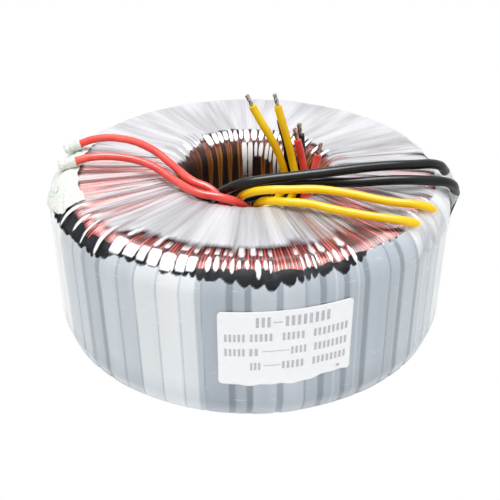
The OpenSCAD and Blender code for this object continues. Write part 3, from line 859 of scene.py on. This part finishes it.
def braided_sleeve(name, points, node, seed):
    """White sleeve round a red lead where it comes out: knitted glass fibre, a little creased."""
    start = Vector(points[0])
    outward = (start - Vector(points[1])).normalized()
    bm = bmesh.new()
    bmesh.ops.create_cone(bm, segments=32, radius1=SLEEVE_R, radius2=SLEEVE_OUTER_R,
                          depth=SLEEVE_L, cap_ends=False)
    long_edges = [e for e in bm.edges if abs(e.verts[0].co.z - e.verts[1].co.z) > 1]
    bmesh.ops.subdivide_edges(bm, edges=long_edges, cuts=16, use_grid_fill=True)
    rng = random.Random(seed)
    for v in bm.verts:
        a = math.atan2(v.co.y, v.co.x)
        swell = 1 + 0.05 * math.sin(3 * a + v.co.z) + 0.05 * math.sin(v.co.z * 2.3 + seed) \
            + 0.03 * (rng.random() - 0.5)
        v.co.x *= swell
        v.co.y *= swell
    stand_along(bm, start + outward * SLEEVE_OUT, outward)
    sleeve = made_from(bm, name)
    thicken(sleeve, SLEEVE_WALL)
    keep_value(sleeve, "flecks", [0.0] * len(sleeve.data.vertices))
    put(sleeve, woven_cotton)
    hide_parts(node)


braided_sleeve("sleeve_a_braid", LEADS["red_a"][1], "sleeve_red_a", 1)
braided_sleeve("sleeve_b_braid", LEADS["red_b"][1], "sleeve_red_b", 2)


# ---------------------------------------------------------------- exits of the other leads

def film_over_exit(name, first, last, s_low, s_high, lumps, seed, clear):
    """The last turn of film, pulled over the leads where they come out, between two directions and
    two places up the section. Each lump is a lead under it: its direction, its height, its reach
    in degrees and the place where it comes up. Clear says how clear the film is over the leads."""
    def bend(x, y):
        turn = first + x * (last - first)
        s = s_low + y * (s_high - s_low) + 1.5 * (ragged(turn, seed, 70) - 0.5) * y
        lift = 0.25 + 0.15 * wavy(turn, y, seed + 1, 200, 4)
        for middle, height, reach, from_s in lumps:
            lump = height * near(turn, middle, reach) ** 0.8 * ease(s, from_s - 9, from_s + 1)
            lift = np.maximum(lift, 0.3 + lump)
        return turn, s, lift
    bm = bmesh.new()
    flat_grid(bm, 0, 1, 0, 1, 120, 60)
    cover, flat, turn, s = laid_on_ring(bm, name, bend, 0)
    x, y = flat.T
    fade = ease(x, 0, 0.1) * (1 - ease(x, 0.9, 1)) * ease(y, 0, 0.3) * (1 - ease(y, 0.72, 1))
    rib = wavy(turn, y, seed + 2, 200, 2)
    over = sum(near(turn, middle, 1.6) * ease(s, from_s - 8, from_s - 3)
               for middle, _, _, from_s in lumps)
    milky = (0.37 + 0.5 * rib) * fade * (1 - clear * np.clip(over, 0, 1))
    keep_colour(cover, "film", milky, 0.6 + 0.4 * rib, 1 - ease(s, 50, 60), 0)
    put(cover, polyester_film)


film_over_exit("film_over_yellow_leads", -44, -22, 46, 69,
               [(-28.6, 3.9, 3, 60), (-38.3, 3.9, 3, 60)], 81, 0)
film_over_exit("film_over_black_leads", -12, 2.5, 34, 63,
               [(-3.3, 4.5, 3.2, 59), (-6.2, 4.0, 3.4, 52)], 91, 0.6)

# The lower black lead goes on down under the film and sinks into the wrap.
end, hidden_end = Vector(LEADS["black_b"][1][0]), Vector((90.6, -8.2, 53))
bm = bmesh.new()
bmesh.ops.create_cone(bm, segments=24, radius1=0.6, radius2=2.05, cap_ends=True,
                      depth=(end - hidden_end).length)
stand_along(bm, (end + hidden_end) / 2, end - hidden_end)
put(made_from(bm, "black_lead_under_film"), black_pvc)


# ---------------------------------------------------------------- core and inner layers

# Grain-oriented silicon steel strip, wound: grey and softly bright, cloudy over 3 mm.
silicon_steel = mottled("silicon_steel_strip", 300, (0.3, "#5D6166"), (0.7, "#8A8F94"),
                        Metallic=1.0, Roughness=0.4)
# Moulded nylon edge caps: off-white, a little uneven.
moulded_nylon = mottled("moulded_nylon", 60, (0.3, "#D9D4C2"), (0.7, "#ECE8DA"), Roughness=0.5)
# Polyester insulation film under the windings: yellowish, glossy.
insulation_film = mottled("insulation_film", 80, (0.3, "#B9A877"), (0.7, "#D8CB9C"),
                          Roughness=0.25, IOR=1.6)
# Inner windings of enamelled wire, wholly under the layers above.
inner_winding = mottled("inner_winding_wire", 500, (0.3, "#8C3B26"), (0.7, "#C8694A"),
                        Metallic=0.6, Roughness=0.35)

for name, material in {
        "core": silicon_steel, "core_cap_bottom": moulded_nylon, "core_cap_top": moulded_nylon,
        "core_wrap": insulation_film, "primary_winding": inner_winding,
        "primary_wrap": insulation_film, "mains_output_winding": inner_winding,
        "output_wrap": insulation_film}.items():
    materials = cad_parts[name].data.materials
    for i in range(len(materials)):
        materials[i] = material


# ---------------------------------------------------------------- floor and light

def seen_directly(tree):
    """1 where the camera looks straight, or by way of gloss or clear film, and otherwise 0."""
    rays = add(tree, "LightPath")
    seen = add(tree, "Math", {0: rays.outputs["Is Camera Ray"], 1: rays.outputs["Is Glossy Ray"]},
               operation="MAXIMUM")
    return add(tree, "Math", {0: seen, 1: rays.outputs["Is Transmission Ray"]},
               operation="MAXIMUM")


bm = bmesh.new()
bmesh.ops.create_grid(bm, x_segments=1, y_segments=1, size=3)
floor = made_from(bm, "floor")
floor.location.z = -0.0004
# Matt white board. The camera sees it plain white, and the ring gets its light back from below.
floor_white, tree, shader = finish_called("white_floor", Roughness=0.9)
shader.inputs["Base Color"].default_value = paint("#F4F4F4")
glow = add(tree, "Emission", {"Color": (1, 1, 1, 1), "Strength": 1.0})
mixed = add(tree, "MixShader", {0: seen_directly(tree), 1: shader.outputs[0], 2: glow})
tree.links.new(mixed.outputs[0], tree.nodes["Material Output"].inputs["Surface"])
floor.data.materials.append(floor_white)

# The world shows white and lights the object at WORLD_LIGHT.
WORLD_LIGHT = 0.62
world = bpy.data.worlds.new("studio")
bpy.context.scene.world = world
world.use_nodes = True
tree = world.node_tree
level = add(tree, "Mix", {0: seen_directly(tree), 2: WORLD_LIGHT, 3: 1.0}, data_type="FLOAT")
tree.links.new(level.outputs[0], tree.nodes["Background"].inputs["Strength"])
tree.nodes["Background"].inputs["Color"].default_value = (1, 1, 1, 1)


def softbox(name, place, aim, width, height, power, glare_only=False):
    """A rectangular lamp aimed at a point, sizes in metres. One for glare only shows in the gloss
    and gives no plain light."""
    lamp = bpy.data.lights.new(name, "AREA")
    lamp.shape, lamp.size, lamp.size_y, lamp.energy = "RECTANGLE", width, height, power
    box = bpy.data.objects.new(name, lamp)
    box.location = place
    box.rotation_euler = (Vector(place) - Vector(aim)).to_track_quat("Z", "Y").to_euler()
    box.visible_diffuse = not glare_only
    bpy.context.scene.collection.objects.link(box)


softbox("overhead_softbox", (0.0, -0.15, 1.0), (0, 0, 0.04), 0.6, 0.6, 7)
softbox("overhead_glare", (0.0, 0.0, 0.9), (0, 0, 0.07), 0.9, 0.45, 22, glare_only=True)
